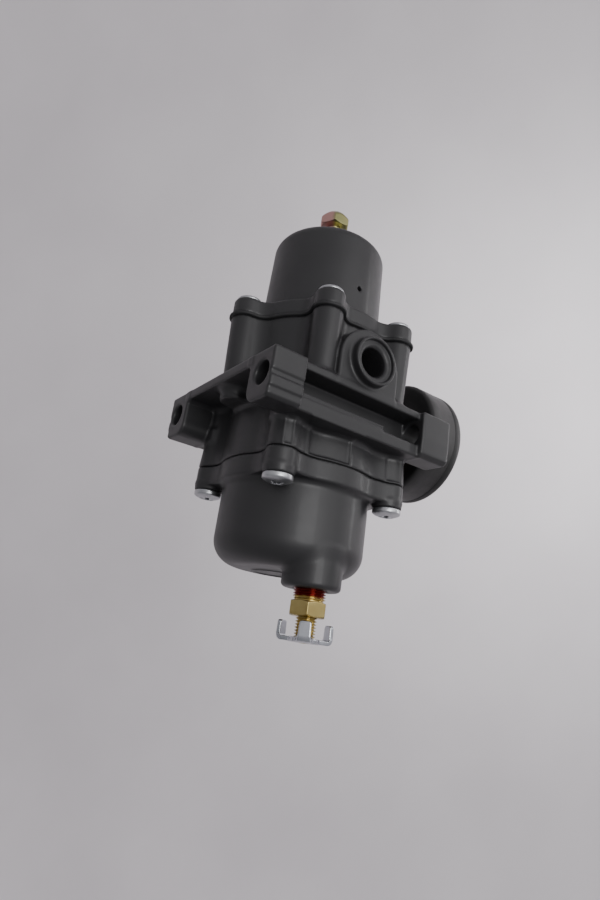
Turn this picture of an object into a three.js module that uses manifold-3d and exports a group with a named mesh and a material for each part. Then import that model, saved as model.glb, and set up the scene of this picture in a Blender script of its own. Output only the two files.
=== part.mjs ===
// Filter-type air pressure regulator with a drip well, drain valve and pressure gauge.
// Millimetres, +Z up (spring case on top). The origin is the centre of the rear mounting face,
// midway between the two bolt holes; the inlet faces -X, the outlet +X, the gauge -Y.
import * as THREE from 'three';
import { mergeVertices } from 'three/addons/utils/BufferGeometryUtils.js';
import Module from 'manifold-3d';

const wasm = await Module();
wasm.setup();

// ---------------------------------------------------------------- driving dimensions
// heights are from the bolt holes' axes, plan sizes from the regulator's own vertical axis
const rearFace = 43.8;              // rear mounting face
const frontFace = -43.9;            // front faces of the bolt lugs
const lugX = 40.5;                  // half width of the mounting block
const boltX = 33.6, boltR = 4.4;    // through holes for the two mounting bolts
const blockTop = 8.7, blockBottom = -10;
const shelfUnder = 5.6, railTop = -4.9, lipTop = -3;   // edges of the open bolt channels
const bodyTop = 35.6;               // joint face under the diaphragm
const bodyBottom = -21;             // joint face on top of the drip well
const upperLobes = { count: 6, first: 30, valley: 32, centre: 36.2, lobe: 6, fillet: 7 };
const lowerLobes = { count: 4, first: 45, valley: 32, centre: 37, lobe: 5.8, fillet: 8 };
const portZ = 19.3, portFace = 42, padFace = 38.2, portR = 5.85;
const diaphragmThick = 1.1;
const diaphragmLow = bodyTop + 0.15, diaphragmHigh = diaphragmLow + diaphragmThick;
const caseBase = diaphragmHigh + 0.15, caseFlangeTop = 43.8, caseR = 25, caseTop = 86;
const wellFlangeTop = bodyBottom - 1, wellFlangeBottom = -29, wellPad = -30.6, wellR = 29.6, wellBottom = -60;
const drainX = -18.2, drainBossR = 11.1, drainBossBottom = -66.3;
const drainHexTop = -70.5, drainHexBottom = -76, drainStemR = 3.9, drainPitch = 1.06;
const springSeat = 73.6;            // underside of the upper spring seat
const adjusterR = 3.97, headBottom = 101.4, headTop = 108.6, wrenchFlats = 12.7;
const gaugeZ = 11.5, gaugeR = 26.8, gaugeBack = 48, gaugeFront = 68;
const pinionTeeth = 12, sectorTeeth = 60, toothModule = 0.5, gearCentres = 18;

// ---------------------------------------------------------------- materials
const paint = { color: 0x3f4144, roughness: 0.4, metalness: 0.2 };
const zinc = { color: 0x9fa3a6, roughness: 0.35, metalness: 0.9 };
const steel = { color: 0x8e9194, roughness: 0.35, metalness: 0.9 };
const yellowZinc = { color: 0xb9a05c, roughness: 0.35, metalness: 0.8 };
const brass = { color: 0xb58a3c, roughness: 0.3, metalness: 0.9 };
const bronze = { color: 0xa9763f, roughness: 0.4, metalness: 0.8 };
const chrome = { color: 0xd0d2d4, roughness: 0.12, metalness: 1 };
const rubber = { color: 0x161617, roughness: 0.75, metalness: 0 };
const blackCase = { color: 0x1c1c1e, roughness: 0.45, metalness: 0.1 };
const cellulose = { color: 0xd8cfae, roughness: 0.9, metalness: 0 };
const white = { color: 0xeeeeea, roughness: 0.6, metalness: 0 };
const clear = { color: 0xdfe8ea, roughness: 0.05, metalness: 0 };

// ---------------------------------------------------------------- scene graph
const group = new THREE.Group();
group.name = 'air_pressure_regulator';
const nest = (parent, x, y, z, turnX = 0) => {
  const g = new THREE.Group();
  g.position.set(x, y, z);
  g.rotation.x = turnX;
  parent.add(g);
  return g;
};
const axis = nest(group, 0, -rearFace, 0);                        // the regulator's own axis
const drain = nest(axis, drainX, 0, 0);
const gauge = nest(axis, 0, 0, gaugeZ, Math.PI / 2);              // local +Z looks out of the dial

function add(parent, name, geometry, look, [x, y, z] = [0, 0, 0], [rx, ry, rz] = [0, 0, 0]) {
  geometry.computeVertexNormals();
  const mesh = new THREE.Mesh(geometry, new THREE.MeshStandardMaterial(look));
  mesh.name = name;
  mesh.position.set(x, y, z);
  mesh.rotation.set(rx, ry, rz);
  parent.add(mesh);
}

// ---------------------------------------------------------------- joining and cutting
function solid(geometry) {
  const bare = geometry.clone();
  bare.deleteAttribute('normal');
  bare.deleteAttribute('uv');
  const g = mergeVertices(bare, 1e-4);
  const corner = [0, 1, 2].map(() => new THREE.Vector3());
  const faces = [];
  let volume = 0;
  for (let i = 0; i < g.index.count; i += 3) {
    const t = [0, 1, 2].map((k) => g.index.getX(i + k));
    if (new Set(t).size < 3) continue;
    t.forEach((v, k) => corner[k].fromBufferAttribute(g.attributes.position, v));
    volume += corner[0].dot(corner[1].clone().cross(corner[2]));
    faces.push(t);
  }
  if (volume < 0) faces.forEach((t) => t.reverse());
  return new wasm.Manifold(new wasm.Mesh({
    numProp: 3,
    vertProperties: Float32Array.from(g.attributes.position.array),
    triVerts: Uint32Array.from(faces.flat()),
  }));
}
function shell(body) {
  const mesh = body.getMesh();
  const g = new THREE.BufferGeometry();
  g.setAttribute('position', new THREE.BufferAttribute(Float32Array.from(mesh.vertProperties), 3));
  g.setIndex(new THREE.BufferAttribute(Uint32Array.from(mesh.triVerts), 1));
  return g;
}
const join = (...parts) => shell(parts.map(solid).reduce((a, b) => a.add(b)));
const cut = (...parts) => shell(parts.map(solid).reduce((a, b) => a.subtract(b)));
const common = (a, b) => shell(solid(a).intersect(solid(b)));

// ---------------------------------------------------------------- geometry helpers
const deg = THREE.MathUtils.degToRad;
const shapeOf = (points) => new THREE.Shape(points.map(([x, y]) => new THREE.Vector2(x, y)));

// outline in X,Y raised from z0 to z1
function prism(points, z0, z1) {
  const g = new THREE.ExtrudeGeometry(shapeOf(points), { depth: z1 - z0, bevelEnabled: false });
  return g.translate(0, 0, z0);
}
// outline given as (y, z) running along X, and as (x, z) running along Y
const prismX = (points, x0, x1) => prism(points, x0, x1).rotateX(Math.PI / 2).rotateZ(Math.PI / 2);
const prismY = (points, y0, y1) => prism(points, -y1, -y0).rotateX(Math.PI / 2);
const rect = (x0, x1, y0, y1) => [[x0, y0], [x1, y0], [x1, y1], [x0, y1]];
const box = (x0, x1, y0, y1, z0, z1) => prism(rect(x0, x1, y0, y1), z0, z1);
const mirrored = (geometry) => geometry.clone().scale(-1, 1, 1);

// points on an arc, angles in degrees
function arc(cx, cy, r, a0, a1, n) {
  return Array.from({ length: n + 1 }, (_, i) => {
    const a = deg(a0 + ((a1 - a0) * i) / n);
    return [cx + r * Math.cos(a), cy + r * Math.sin(a)];
  });
}
const circle = (r, n) => arc(0, 0, r, 0, 360, n).slice(0, -1);
const hexagon = (flats, turn = 0) => arc(0, 0, flats / Math.sqrt(3), turn, turn + 360, 6).slice(0, -1);

// body of revolution about Z from (radius, height) points
const turned = (points, n = 32) =>
  new THREE.LatheGeometry(points.map(([r, z]) => new THREE.Vector2(r, z)), n).rotateX(Math.PI / 2);
const ring = (r0, r1, z0, z1, n = 32) =>
  turned([[r0, z0], [r1, z0], [r1, z1], [r0, z1], [r0, z0]], n);
const rod = (r, z0, z1, n = 20) => turned([[0, z0], [r, z0], [r, z1], [0, z1]], n);
const alongX = (geometry) => geometry.rotateY(Math.PI / 2);       // +Z turned to +X
const alongY = (geometry) => geometry.rotateX(Math.PI / 2);       // +Z turned to -Y

// round flange with equally spaced lobes, each blended into the round by a fillet
function lobed({ count, first, valley, centre, lobe, fillet }, grow = 0) {
  const v = valley + grow, r = lobe + grow, f = fillet - grow;
  const a = v + f, b = r + f;
  const spread = THREE.MathUtils.radToDeg(Math.acos((a * a + centre * centre - b * b) / (2 * a * centre)));
  const bearing = ([x0, y0], [x1, y1]) => THREE.MathUtils.radToDeg(Math.atan2(y1 - y0, x1 - x0));
  const near = (from, to) => from + THREE.MathUtils.euclideanModulo(to - from + 180, 360) - 180;
  const points = [];
  for (let k = 0; k < count; k++) {
    const t = first + (k * 360) / count;
    const [tip] = arc(0, 0, centre, t, t, 1);
    const [before] = arc(0, 0, a, t - spread, t - spread, 1);
    const [after] = arc(0, 0, a, t + spread, t + spread, 1);
    const start = t - spread + 180, leave = bearing(after, tip);
    points.push(
      ...arc(...before, f, start, near(start, bearing(before, tip)), 3).slice(0, -1),
      ...arc(...tip, r, near(t - 90, bearing(tip, before)), near(t + 90, bearing(tip, after)), 6).slice(0, -1),
      ...arc(...after, f, leave, near(leave, t + spread + 180), 3).slice(0, -1),
      ...arc(0, 0, v, t + spread, t + 360 / count - spread, count > 4 ? 2 : 4).slice(0, -1),
    );
  }
  return points;
}
const lobeSpots = ({ count, first, centre }) =>
  arc(0, 0, centre, first, first + 360, count).slice(0, -1);
const drilled = (lobes, r, z0, z1) =>
  lobeSpots(lobes).map(([x, y]) => rod(r, z0, z1, 8).translate(x, y, 0));

// the same with casting draft: narrower by `slope` per millimetre away from `level`
function drafted(points, z0, z1, level, slope) {
  const g = prism(points, z0, z1);
  const p = g.attributes.position;
  for (let i = 0; i < p.count; i++) {
    const k = 1 - slope * Math.abs(level - p.getZ(i));
    p.setXY(i, p.getX(i) * k, p.getY(i) * k);
  }
  return g;
}

// round-wire compression spring about Z with one closed coil at each end
class SpringPath extends THREE.Curve {
  constructor(r, wire, z0, z1, turns) {
    super();
    Object.assign(this, { r, wire, z0, z1, turns });
  }

  getPoint(t) {
    const { r, wire, z0, z1, turns } = this;
    const coil = 2.08 * wire, n = t * (turns + 2);
    const low = z0 + wire + coil, high = z1 - wire - coil;
    let z = low + (high - low) * THREE.MathUtils.clamp((n - 1) / turns, 0, 1);
    if (n < 1) z += (n - 1) * coil;
    if (n > turns + 1) z += (n - turns - 1) * coil;
    return new THREE.Vector3(r * Math.cos(n * 2 * Math.PI), r * Math.sin(n * 2 * Math.PI), z);
  }
}
function coilSpring(r, wire, z0, z1, turns, stepsPerTurn, sides) {
  return new THREE.ExtrudeGeometry(shapeOf(circle(wire, sides)), {
    extrudePath: new SpringPath(r, wire, z0, z1, turns),
    steps: Math.round((turns + 2) * stepsPerTurn),
    bevelEnabled: false,
  });
}

// profile points of thread ridges, listed upwards from z0 to z1
function threadRidges(r, depth, pitch, z0, z1) {
  const n = Math.round((z1 - z0) / pitch), step = (z1 - z0) / n;
  const points = [];
  for (let i = 0; i < n; i++) points.push([r - depth, z0 + step * i], [r, z0 + step * (i + 0.5)]);
  return [...points, [r - depth, z1]];
}

// ---------------------------------------------------------------- regulator body casting
{
  const upper = drafted(lobed(upperLobes), 0, bodyTop, bodyTop, 0.001);
  const lower = drafted(lobed(lowerLobes), bodyBottom, 6, bodyBottom, 0.0016);
  const shelf = box(-padFace, padFace, -29, 31, shelfUnder, blockTop);
  const rearShelf = box(-27, 27, 10, rearFace, 5, blockTop);
  const frontShelf = box(-27, 27, -40.8, -10, 5, blockTop);

  // bolt lug in (x, z): rounded inner corner, chamfered outer corner, two shallow lengthwise grooves
  const lug = [
    [23, blockTop], [23, 5], [25, 3.5], ...arc(30, -5, 5, 180, 270, 3), [38.6, blockBottom],
    [39.8, -8.9], [39.8, -6.7], [lugX, -6.1], [lugX, -2.4], [40, -2], [40, -0.3], [lugX, 0.1],
    [lugX, blockTop],
  ];
  const rail = [[22, railTop], [padFace, railTop], [padFace, blockBottom + 0.6],
    [padFace - 0.6, blockBottom], [22, blockBottom]];
  const lip = box(36.8, padFace, -10, 31, railTop - 1, lipTop);
  const side = join(prismY(lug, 29.6, rearFace), prismY(lug, frontFace, -28.3), prismY(rail, -30, 31), lip);

  // flat port pad with an arched top, and the raised rim round the threaded port
  const pad = prismX([[-14.5, shelfUnder], [14.5, shelfUnder], ...arc(0, portZ - 1, 14.5, 0, 180, 8)], 10, padFace);
  const rim = alongX(turned([[0, 20], [9.8, 20], [9.8, portFace - 0.5], [9.3, portFace], [0, portFace]], 24));
  const port = join(pad, rim.translate(0, 0, portZ));
  const gaugeBoss = alongY(rod(11, 20, 41, 24)).translate(0, 0, gaugeZ);

  // open channels that show the mounting bolts between the lugs
  const channel = join(box(29, 36.8, -28.3, 29.6, railTop, shelfUnder),
    box(36, 50, -28.3, 29.6, lipTop, shelfUnder), box(36, 50, -28.3, -10, railTop, shelfUnder));
  const bolt = alongY(rod(boltR, -60, 60, 16)).translate(boltX, 0, 0);
  const bore = (depth) => alongX(turned([[0, depth], [portR, depth], [portR, portFace - 1.6],
    [8.5, portFace - 1.6], [8.5, portFace + 2], [0, portFace + 2]], 20)).translate(0, 0, portZ);
  const panels = common(ring(31.3, 40, -19.8, -10.5, 48), box(-45, -20, 0, 16, -20, -10));

  add(axis, 'regulator_body', cut(
    join(upper, lower, shelf, rearShelf, frontShelf, side, mirrored(side), port, mirrored(port), gaugeBoss),
    bolt, mirrored(bolt), channel, mirrored(channel), bore(3), mirrored(bore(16)),
    turned([[0, 30], [20, 30], [25, 32], [25, 40], [0, 40]], 24),                   // diaphragm chamber
    rod(7, 11.8, 24, 16), rod(8.5, -30, 11.8), rod(3.2, 20, 32, 12),                // outlet pocket, valve bore
    rod(1.6, 20, 32, 8).translate(5.2, 0, 0),                                       // sensing hole
    rod(4, -10, portZ + 2, 12).translate(-20, 0, 0),                                // inlet drop passage
    turned([[12, -30], [25.5, -30], [25.5, -10], [14, -8], [12, -10], [12, -30]], 20),
    alongY(rod(5.9, 6, 45)).translate(0, 0, gaugeZ),
    panels, mirrored(panels),
    ...drilled(upperLobes, 2.35, bodyTop - 9, 40), ...drilled(lowerLobes, 2.45, -25, -12),
  ), paint);
}

// ---------------------------------------------------------------- spring case
{
  const dome = turned([[0, caseBase], [caseR + 1.5, caseBase], [caseR + 1.5, caseFlangeTop],
    [caseR + 1.2, caseFlangeTop + 1.6], [caseR + 0.8, caseFlangeTop + 4],
    ...arc(caseR - 5, caseTop - 5, 5, 0, 90, 3), [0, caseTop]], 36);
  const castPip = rod(1.1, caseTop - 1, caseTop + 0.9, 10).translate(-6, 16.5, 0);
  const hollow = turned([[0, caseBase - 1], [24.5, caseBase - 1], [24.5, 38.6], [21.5, 42],
    [21.5, 79.5], [19, 82], [9, 82], [9, 79.5], [0, 79.5]], 20);
  const breather = alongX(rod(1.1, -30, -18, 12)).translate(0, 0, 58);
  add(axis, 'spring_case', cut(join(prism(lobed(upperLobes), caseBase, caseFlangeTop), dome, castPip),
    hollow, rod(adjusterR + 0.13, 70, 90), breather, ...drilled(upperLobes, 2.6, 30, 50)), paint);
}

// round-headed cross-recess screw, underside of the head at height 0
function screw(headR, headH, shankR, length) {
  const body = turned([[0, -length], [shankR, -length], [shankR, 0], [headR, 0], [headR, headH * 0.4],
    [headR * 0.86, headH * 0.78], [headR * 0.55, headH], [0, headH]], 12);
  const [w, floor] = [headR / 2, headH * 0.45];
  return cut(body, box(-w, w, -0.6, 0.6, floor, 9), box(-0.6, 0.6, -w, w, floor, 9));
}
lobeSpots(upperLobes).forEach(([x, y], i) => add(axis, `spring_case_screw_${i + 1}`,
  screw(5.2, 2.9, 2.15, 14), zinc, [x, y, caseFlangeTop + 0.1], [0, 0, 0.3 * i]));
lobeSpots(lowerLobes).forEach(([x, y], i) => add(axis, `drip_well_screw_${i + 1}`,
  screw(5.6, 3.6, 2.2, 15), zinc, [x, y, wellPad - 0.1], [Math.PI, 0, 0.2 + 0.55 * i]));

// ---------------------------------------------------------------- diaphragm assembly
{
  const roll = ring(20.5, 24, diaphragmLow, diaphragmHigh + 1.2, 20);
  const groove = ring(21.5, 23, diaphragmLow - 1, diaphragmHigh + 0.2, 20);
  add(axis, 'diaphragm', cut(join(prism(lobed(upperLobes, 0.35), diaphragmLow, diaphragmHigh), roll),
    groove, rod(4.6, 30, 40), ...drilled(upperLobes, 2.55, 30, 50)), rubber);
}
const plateLow = diaphragmHigh + 0.15, footTop = diaphragmLow - 0.15;
// hollow post: its foot bears on the valve stem, its neck passes up through the diaphragm
add(axis, 'pusher_post', turned([[0.8, 31.2], [2.6, 31.2], [3, 33.2], [14, 34.4], [14, footTop],
  [4.2, footTop], [4.2, 43.4], [0.8, 43.4], [0.8, 31.2]], 20), bronze);
// dished plate on top of the diaphragm, carrying the range spring
add(axis, 'diaphragm_plate', turned([[4.5, plateLow], [18.6, plateLow], [20, plateLow + 1.1], [20, 39.8],
  [18.8, 39.8], [18.2, 38.3], [4.5, 38.3], [4.5, plateLow]], 24), steel);
add(axis, 'pusher_post_nut', cut(prism(hexagon(11), 38.45, 42.2), rod(4.35, 30, 50)), steel);

// ---------------------------------------------------------------- range spring and its adjustment
add(axis, 'range_spring', coilSpring(14.2, 1.7, 38.45, springSeat - 0.15, 4.5, 12, 5), steel);
add(axis, 'upper_spring_seat', turned([[0, springSeat - 5], [10.5, springSeat - 5], [11.8, springSeat - 4],
  [11.8, springSeat], [17, springSeat], [17, springSeat + 1.8], [7, springSeat + 2.6],
  [5.2, springSeat + 2.6], [5.2, springSeat + 0.6], [0, springSeat - 0.6]], 20), zinc);
{
  const chamfer = turned([[0, headBottom], [6.5, headBottom], [8.6, headBottom + 1.2],
    [8.6, headTop - 3.4], [7.2, headTop - 1.9], [5, headTop], [0, headTop]], 24);
  const head = common(prism(hexagon(wrenchFlats, 146), headBottom, headTop), chamfer);
  const shank = turned([[0, springSeat - 0.35], [1.4, springSeat - 0.05], [3.2, springSeat + 1.6],
    [adjusterR, springSeat + 2.4], [adjusterR, headBottom - 1.4], [3.4, headBottom - 0.6],
    [3.4, headBottom + 1], [0, headBottom + 1]], 20);
  add(axis, 'adjusting_screw', join(head, shank), yellowZinc);
  const nutBlank = turned([[0, caseTop + 0.15], [6.2, caseTop + 0.15], [8, caseTop + 1.2],
    [8, caseTop + 4.5], [6.2, caseTop + 5.6], [0, caseTop + 5.6]], 24);
  add(axis, 'locknut', cut(common(prism(hexagon(wrenchFlats, 128), caseTop, caseTop + 6), nutBlank),
    rod(adjusterR + 0.13, 80, 95)), yellowZinc);
}

// ---------------------------------------------------------------- valve cartridge
add(axis, 'valve_cartridge', turned([[5.6, -17.5], [8.3, -17.5], [8.3, -11.4], [6.9, -11.4], [6.9, -9.2],
  [8.3, -9.2], [8.3, 5.4], [6.9, 5.4], [6.9, 7.6], [8.3, 7.6], [8.3, 11.4], [3, 11.4], [2.6, 10.8],
  [2.6, 9], [5.6, 6], [5.6, -17.5]], 16), brass);
const oRing = (z) => turned(arc(7.7, z, 0.7, 0, 360, 6), 16);
add(axis, 'cartridge_o_ring_upper', oRing(6.5), rubber);
add(axis, 'cartridge_o_ring_lower', oRing(-10.3), rubber);
add(axis, 'valve_plug', turned([[0, -5], [1.6, -5], [1.6, -0.6], [4.7, -0.6], [4.7, 4.4], [2.9, 8.2],
  [0.95, 8.6], [0.95, 31], [0, 31]], 16), brass);
add(axis, 'valve_spring', coilSpring(3.5, 0.45, -14.1, -0.75, 4, 9, 4), steel);
add(axis, 'cartridge_cap', turned([[2.2, -20.3], [7.2, -20.3], [7.2, -17.7], [5.4, -17.7], [5.4, -14.3],
  [2.2, -14.3], [2.2, -20.3]], 16), brass);

// ---------------------------------------------------------------- filter inside the drip well
add(axis, 'filter_gasket', ring(9.6, 15, -22.9, bodyBottom - 0.2, 24), rubber);
{
  const pleats = 22;
  const outer = Array.from({ length: pleats * 2 }, (_, i) => arc(0, 0, i % 2 ? 14 : 16,
    (i * 180) / pleats, 0, 1)[0]);
  add(axis, 'filter_element', cut(prism(outer, -49, -23.1), rod(9.6, -60, 0)), cellulose);
}
add(axis, 'filter_retainer', turned([[2.3, -50.9], [12, -50.9], [17, -50.2], [17, -47], [16.3, -47],
  [16.3, -49.2], [2.3, -49.2], [2.3, -50.9]], 20), steel);
add(axis, 'filter_washer', ring(2.3, 5, -51.9, -51.1, 16), zinc);
add(axis, 'filter_screw', turned([[0, -54.6], [2.6, -54.6], [3.8, -53.8], [3.8, -52.1], [1.95, -52.1],
  [1.95, -16], [0, -16]], 16), zinc);

// ---------------------------------------------------------------- drip well
add(axis, 'drip_well_gasket', ring(26, 31.5, wellFlangeTop + 0.15, bodyBottom - 0.15, 32), rubber);
{
  const cup = turned([[0, wellBottom], ...arc(wellR - 10, wellBottom + 10, 10, 270, 360, 4),
    [wellR, wellFlangeBottom - 2], [wellR + 1.6, wellFlangeBottom], [wellR + 1.6, wellFlangeTop],
    [0, wellFlangeTop]], 36);
  const hollow = turned([[0, -56.6], [17.6, -56.6], [24, -54], [wellR - 3, -47.6],
    [wellR - 3, wellFlangeTop + 1], [0, wellFlangeTop + 1]], 20);
  const boss = turned([[0, drainBossBottom], [drainBossR - 1.6, drainBossBottom], [drainBossR, drainBossBottom + 1.6],
    [drainBossR, -53], [9, -51], [0, -51]], 20);
  const badgeRim = ring(8.6, 9.4, wellBottom - 0.5, wellBottom + 2, 20).translate(7, 0, 0);
  const pads = lobeSpots(lowerLobes).map(([x, y]) => rod(5.8, wellPad, wellFlangeBottom + 1, 16).translate(x, y, 0));
  add(axis, 'drip_well', cut(join(prism(lobed(lowerLobes), wellFlangeBottom, wellFlangeTop), cup,
    boss.translate(drainX, 0, 0), badgeRim, ...pads), hollow, rod(6.35, -70, -45).translate(drainX, 0, 0),
  ...drilled(lowerLobes, 2.7, -40, -10)), paint);
}

// ---------------------------------------------------------------- drain valve
{
  const thread = turned([[0, drainHexTop - 1], [5.3, drainHexTop - 1],
    ...threadRidges(6.05, 0.65, 1, drainHexTop + 0.4, -66.5), [5.6, -56], [4.4, -55.4], [0, -55.4]], 16);
  const bore = turned([[0, drainHexBottom - 1], [drainStemR + 0.12, drainHexBottom - 1],
    [drainStemR + 0.12, -63], [1.9, -60.5], [1.9, -50], [0, -50]], 16);
  add(drain, 'drain_valve_body',
    cut(join(prism(hexagon(wrenchFlats, 143), drainHexBottom, drainHexTop), thread), bore), brass);
  add(drain, 'drain_stem', turned([[0, -85.1], [2.1, -85.1], [2.1, -83.4], [3.1, -83.4],
    ...threadRidges(drainStemR, 0.55, drainPitch, -83, -75.6), [drainStemR, -75.4], [drainStemR, -65.5],
    [1.5, -61.6], [0, -61.6]], 14), brass);

  // stamped handle: a disc with three arms turned up towards the valve
  const arm = prism([[2, -3], [7.8, -2.8], [10.8, -2.1], [10.8, 2.1], [7.8, 2.8], [2, 3]], -84.8, -83.6);
  const tab = prismX([[-2.2, -84.8], [2.2, -84.8], [2.05, -78.2], [1.4, -77.7], [-1.4, -77.7], [-2.05, -78.2]],
    9.6, 10.8);
  const leg = join(arm, tab);
  const legs = [143, 263, 23].map((a) => leg.clone().rotateZ(deg(a)));
  add(drain, 'drain_handle', cut(join(rod(5.4, -84.8, -83.6), ...legs), rod(2.2, -90, -80)), chrome);
}

// ---------------------------------------------------------------- pressure gauge
// depths are measured from the regulator's axis out through the dial
add(gauge, 'gauge_socket', cut(join(rod(5.7, 30.5, 42.3), prism(rect(-7, 7, -7, 7), 42, 47.8),
  rod(5.4, 47.5, gaugeBack + 5)), rod(1.5, 29, gaugeBack + 1, 12)), brass);
add(gauge, 'gauge_case', turned([[5.7, gaugeBack], [24.8, gaugeBack],
  [gaugeR - 0.1, gaugeBack + 2], [gaugeR - 0.1, gaugeFront - 5.2], [gaugeR - 2, gaugeFront - 5.2],
  [gaugeR - 2, gaugeBack + 4.4], [gaugeR - 4.4, gaugeBack + 1.4], [5.7, gaugeBack + 1.4],
  [5.7, gaugeBack]], 32), blackCase);
add(gauge, 'gauge_bezel', turned([[gaugeR - 1.6, gaugeFront - 5], [gaugeR, gaugeFront - 5],
  [gaugeR, gaugeFront - 2.4], [gaugeR - 0.8, gaugeFront - 0.8], [gaugeR - 2.4, gaugeFront], [gaugeR - 3.6, gaugeFront],
  [gaugeR - 4, gaugeFront - 1], [gaugeR - 1.8, gaugeFront - 1], [gaugeR - 1.6, gaugeFront - 5]], 32), blackCase);
add(gauge, 'gauge_window', rod(gaugeR - 2, gaugeFront - 3, gaugeFront - 1.2, 28), clear);
add(gauge, 'gauge_dial', ring(1.5, gaugeR - 2.4, gaugeFront - 7.4, gaugeFront - 6.8, 28), white);
{
  // flat tube bent most of the way round, rooted on the socket
  const tube = prism([...arc(0, 0, 19.6, -115, 150, 20), ...arc(0, 0, 17.2, 150, -115, 20)],
    gaugeBack + 2.4, gaugeBack + 6.4);
  const root = prism(rect(-5, 5, -19.2, -5.8), gaugeBack + 2.2, gaugeBack + 5.2);
  const foot = prism([[-9.4, -19], [-4, -19], [-4, -15], [-7.2, -15]], gaugeBack + 2.4, gaugeBack + 5.2);
  add(gauge, 'bourdon_tube', join(tube, root, foot), bronze);

  // movement frame: two plates held apart by posts, with pivot holes for both arbors
  const movementLow = gaugeBack + 6.8, movementHigh = gaugeFront - 7.8;
  const plate = (z) => prism([...arc(0, -gearCentres - 1, 4, 180, 360, 6), ...arc(0, 0, 5.6, -20, 200, 8)],
    z, z + 0.8);
  const post = (x, y) => rod(0.9, movementLow, movementHigh, 8).translate(x, y, 0);
  const pivot = (y) => rod(1, 40, 70, 12).translate(0, y, 0);
  add(gauge, 'gauge_movement', cut(join(plate(movementLow), plate(movementHigh - 0.8), post(-2.6, -20.6),
    post(4.05, 2.35)), pivot(0), pivot(-gearCentres)), brass);

  // trapezoid teeth on a pitch circle, from tooth `from` to tooth `to`
  const teeth = (count, from, to, phase) => {
    const pitchR = (toothModule * count) / 2, step = 360 / count, points = [];
    for (let k = from; k <= to; k++) {
      for (const [across, rise] of [[-0.24, -0.58], [-0.11, 0.36], [0.11, 0.36], [0.24, -0.58]]) {
        const a = phase + (k + across) * step;
        points.push(...arc(0, 0, pitchR + rise, a, a, 1).slice(0, 1));
      }
    }
    return points;
  };
  const spoke = (r, a) => arc(0, 0, r, a, a, 1)[0];
  const gearLow = gaugeBack + 8.4, gearHigh = gearLow + 1.4;
  const needle = prism([spoke(1.1, 135), spoke(7.5, 50), spoke(7.5, 40), spoke(1.1, 315), spoke(19.4, 225)],
    gaugeFront - 6.2, gaugeFront - 5.7);
  const pinion = prism(teeth(pinionTeeth, 0, pinionTeeth - 1, -75), gearLow - 0.3, gearHigh + 0.3);
  add(gauge, 'gauge_pointer', join(needle, pinion, rod(0.85, gaugeBack + 7, gaugeFront - 5.2, 12),
    rod(2, gaugeFront - 6.2, gaugeFront - 5.5, 16)), blackCase);
  const sector = prism([...teeth(sectorTeeth, -11, 1, 90), spoke(2.2, 170), spoke(4, 270), spoke(2.2, 10)],
    gearLow, gearHigh);
  add(gauge, 'gauge_sector', join(sector, rod(0.85, gaugeBack + 7, gaugeFront - 8, 12)), brass,
    [0, -gearCentres, 0]);
}

export default group;
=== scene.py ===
"""Looks for the air pressure regulator: painted castings, plated fasteners, brass drain and dial gauge."""

import math

import bpy
import numpy as np
from mathutils import Matrix, Vector


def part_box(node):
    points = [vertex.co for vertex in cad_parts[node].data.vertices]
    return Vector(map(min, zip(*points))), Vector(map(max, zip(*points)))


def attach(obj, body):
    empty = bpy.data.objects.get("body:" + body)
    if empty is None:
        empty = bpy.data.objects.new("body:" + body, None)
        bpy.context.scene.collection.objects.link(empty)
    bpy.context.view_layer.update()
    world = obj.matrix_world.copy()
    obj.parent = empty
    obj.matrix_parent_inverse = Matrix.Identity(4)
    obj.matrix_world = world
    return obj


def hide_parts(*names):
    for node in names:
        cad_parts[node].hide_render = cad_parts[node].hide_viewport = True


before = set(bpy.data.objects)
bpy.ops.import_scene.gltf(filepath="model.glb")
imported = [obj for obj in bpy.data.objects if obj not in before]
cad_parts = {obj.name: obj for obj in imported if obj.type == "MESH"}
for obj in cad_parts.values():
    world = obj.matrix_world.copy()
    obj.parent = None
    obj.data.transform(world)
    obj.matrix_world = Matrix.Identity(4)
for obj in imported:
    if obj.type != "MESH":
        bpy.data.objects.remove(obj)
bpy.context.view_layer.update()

# ------------------------------------------------------------------ driving sizes (mm)
# Heights are from the bolt holes' axes; plan positions are from the regulator's own vertical axis.
axis_low, axis_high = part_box("adjusting_screw")
AXIS = Vector(((axis_low.x + axis_high.x) / 2, (axis_low.y + axis_high.y) / 2, 0.0))
LUG_X, BOLT_X, BOLT_R = 40.5, 33.6, 4.4
REAR, FRONT = 43.8, -43.9
BLOCK_TOP, BLOCK_BOTTOM = 8.7, -10.0
BODY_TOP, BODY_BOTTOM = 35.6, -21.0
CASE_BASE, CASE_FLANGE, CASE_R, CASE_TOP = 37.0, 43.8, 25.0, 86.0
WELL_TOP, WELL_PAD, WELL_FLANGE, WELL_R, WELL_BOTTOM = -21.3, -30.6, -29.0, 29.6, -60.0
DRAIN_X, DRAIN_BOSS, DRAIN_BOSS_R, STEM_R = -18.2, -66.3, 11.1, 3.9
PORT_Z, PORT_FACE, PAD_FACE, PORT_R = 19.3, 42.0, 38.2, 5.85
GAUGE_Z, GAUGE_R, GAUGE_FRONT = 11.5, 26.8, 68.0
UPPER = dict(count=6, first=30, valley=32.0, centre=36.2, lobe=6.0, fillet=7.0)
LOWER = dict(count=4, first=45, valley=32.0, centre=37.0, lobe=5.8, fillet=15)
PANELS = (-20.2, -10.8)  # heights of the framed panels on the lower part of the body
HEX_FLATS = 12.7
ADJUSTER_R, ADJUSTER_PITCH, HEAD_BOTTOM, HEAD_TOP = 3.97, 1.411, 101.4, 108.6
VALVE_BOTTOM, VALVE_TOP, DRAIN_PITCH = -76.0, -70.5, 1.06
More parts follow.
